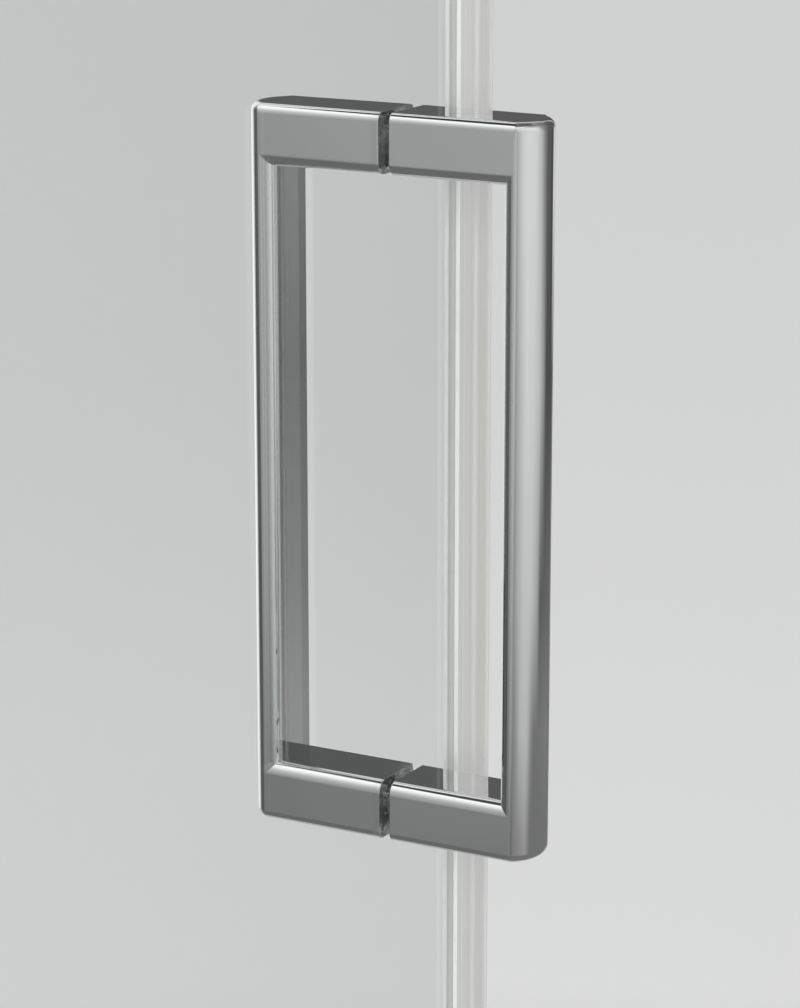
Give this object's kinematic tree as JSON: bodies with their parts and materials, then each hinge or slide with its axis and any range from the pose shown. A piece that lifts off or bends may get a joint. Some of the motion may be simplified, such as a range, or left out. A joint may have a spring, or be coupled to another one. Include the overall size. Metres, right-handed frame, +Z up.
{
  "type": "sliding shower door",
  "caption": "Niche shower door with a fixed glass pane and a sliding glass pane that hangs on rollers in a top track, with a square back-to-back pull handle.",
  "frame": {"origin": "middle of the frame's foot, below the sliding pane's mid plane", "axes": "+X along the door towards the closing jamb, +Y into the shower, +Z up"},
  "size_m": [1.5, 0.0992, 2],
  "materials": {
    "polished_aluminium": "bright polished and anodised",
    "chrome": "polished chrome plating",
    "clear_glass": "clear toughened glass with polished edges",
    "clear_seal": "clear soft plastic",
    "clear_pad": "clear thin pad",
    "magnet_strip": "pale magnetic rubber",
    "grey_rubber": "matt",
    "black_rubber": "matt",
    "white_nylon": "satin nylon",
    "steel": "stainless steel"
  },
  "bodies": {
    "frame": {"wall_channel_fixed": "polished_aluminium", "wall_channel_closing": "polished_aluminium", "jamb_fixed": "polished_aluminium", "jamb_closing": "polished_aluminium", "glazing_channel": "polished_aluminium", "profile_caps": "chrome", "top_rail": "polished_aluminium", "bottom_rail": "polished_aluminium", "rail_screws": "steel", "jamb_screws": "steel", "screw_caps": "chrome", "fixed_glass": "clear_glass", "glazing_gaskets": "grey_rubber", "setting_blocks": "black_rubber", "overlap_seal": "clear_seal", "jamb_magnet_holder": "clear_seal", "jamb_magnet": "magnet_strip", "stop_blocks": "steel", "stop_buffers": "black_rubber", "stop_screws": "steel"},
    "door": {"door_glass": "clear_glass", "closing_seal": "clear_seal", "closing_magnet": "magnet_strip", "trailing_seal": "clear_seal", "drip_seal": "clear_seal", "handle_outer": "chrome", "handle_inner": "chrome", "handle_studs": "steel", "handle_bushes": "clear_pad", "handle_gaskets": "clear_pad", "handle_grub_screws": "steel", "hanger_trailing": "steel", "hanger_leading": "steel", "clamp_plates": "steel", "clamp_liners": "black_rubber", "clamp_bolts": "steel", "clamp_bushes": "white_nylon", "hanger_covers": "chrome", "lift_stops": "white_nylon", "axles": "steel", "bearing_sleeves": "steel", "guide_housings": "chrome", "guide_bolts": "steel", "guide_bushes": "white_nylon", "guide_spring_trailing": "steel", "guide_spring_leading": "steel"},
    "roller_1": {"wheel_1": "white_nylon", "wheel_bearing_1": "steel"},
    "roller_2": {"wheel_2": "white_nylon", "wheel_bearing_2": "steel"},
    "roller_3": {"wheel_3": "white_nylon", "wheel_bearing_3": "steel"},
    "roller_4": {"wheel_4": "white_nylon", "wheel_bearing_4": "steel"},
    "guide_trailing": {"guide_shoe_trailing": "white_nylon", "release_knob_trailing": "chrome"},
    "guide_leading": {"guide_shoe_leading": "white_nylon", "release_knob_leading": "chrome"}
  },
  "joints": [
    {"name": "door_slide", "type": "slide", "parent": "frame", "child": "door", "axis": [1, 0, 0], "range_m": [-0.2469, 0.395]},
    {"name": "roller_1_turn", "type": "hinge", "parent": "door", "child": "roller_1", "pos_m": [-0.382, 0, 1.9808], "axis": [0, 1, 0], "range_deg": [-1495, 2386]},
    {"name": "roller_2_turn", "type": "hinge", "parent": "door", "child": "roller_2", "pos_m": [-0.328, 0, 1.9808], "axis": [0, 1, 0], "range_deg": [-1495, 2386]},
    {"name": "roller_3_turn", "type": "hinge", "parent": "door", "child": "roller_3", "pos_m": [0.1865, 0, 1.9808], "axis": [0, 1, 0], "range_deg": [-1495, 2386]},
    {"name": "roller_4_turn", "type": "hinge", "parent": "door", "child": "roller_4", "pos_m": [0.2405, 0, 1.9808], "axis": [0, 1, 0], "range_deg": [-1495, 2386]},
    {"name": "guide_trailing_release", "type": "slide", "parent": "door", "child": "guide_trailing", "axis": [0, 0, 1], "range_m": [0, 0.009], "stiffness_N_per_m": 300, "springref_m": -0.008, "deforming": ["guide_spring_trailing"]},
    {"name": "guide_leading_release", "type": "slide", "parent": "door", "child": "guide_leading", "axis": [0, 0, 1], "range_m": [0, 0.009], "stiffness_N_per_m": 300, "springref_m": -0.008, "deforming": ["guide_spring_leading"]}
  ],
  "couplings": [
    {"joint": "roller_1_turn", "follows": "door_slide", "rad_per_m": 105.26},
    {"joint": "roller_2_turn", "follows": "door_slide", "rad_per_m": 105.26},
    {"joint": "roller_3_turn", "follows": "door_slide", "rad_per_m": 105.26},
    {"joint": "roller_4_turn", "follows": "door_slide", "rad_per_m": 105.26}
  ]
}
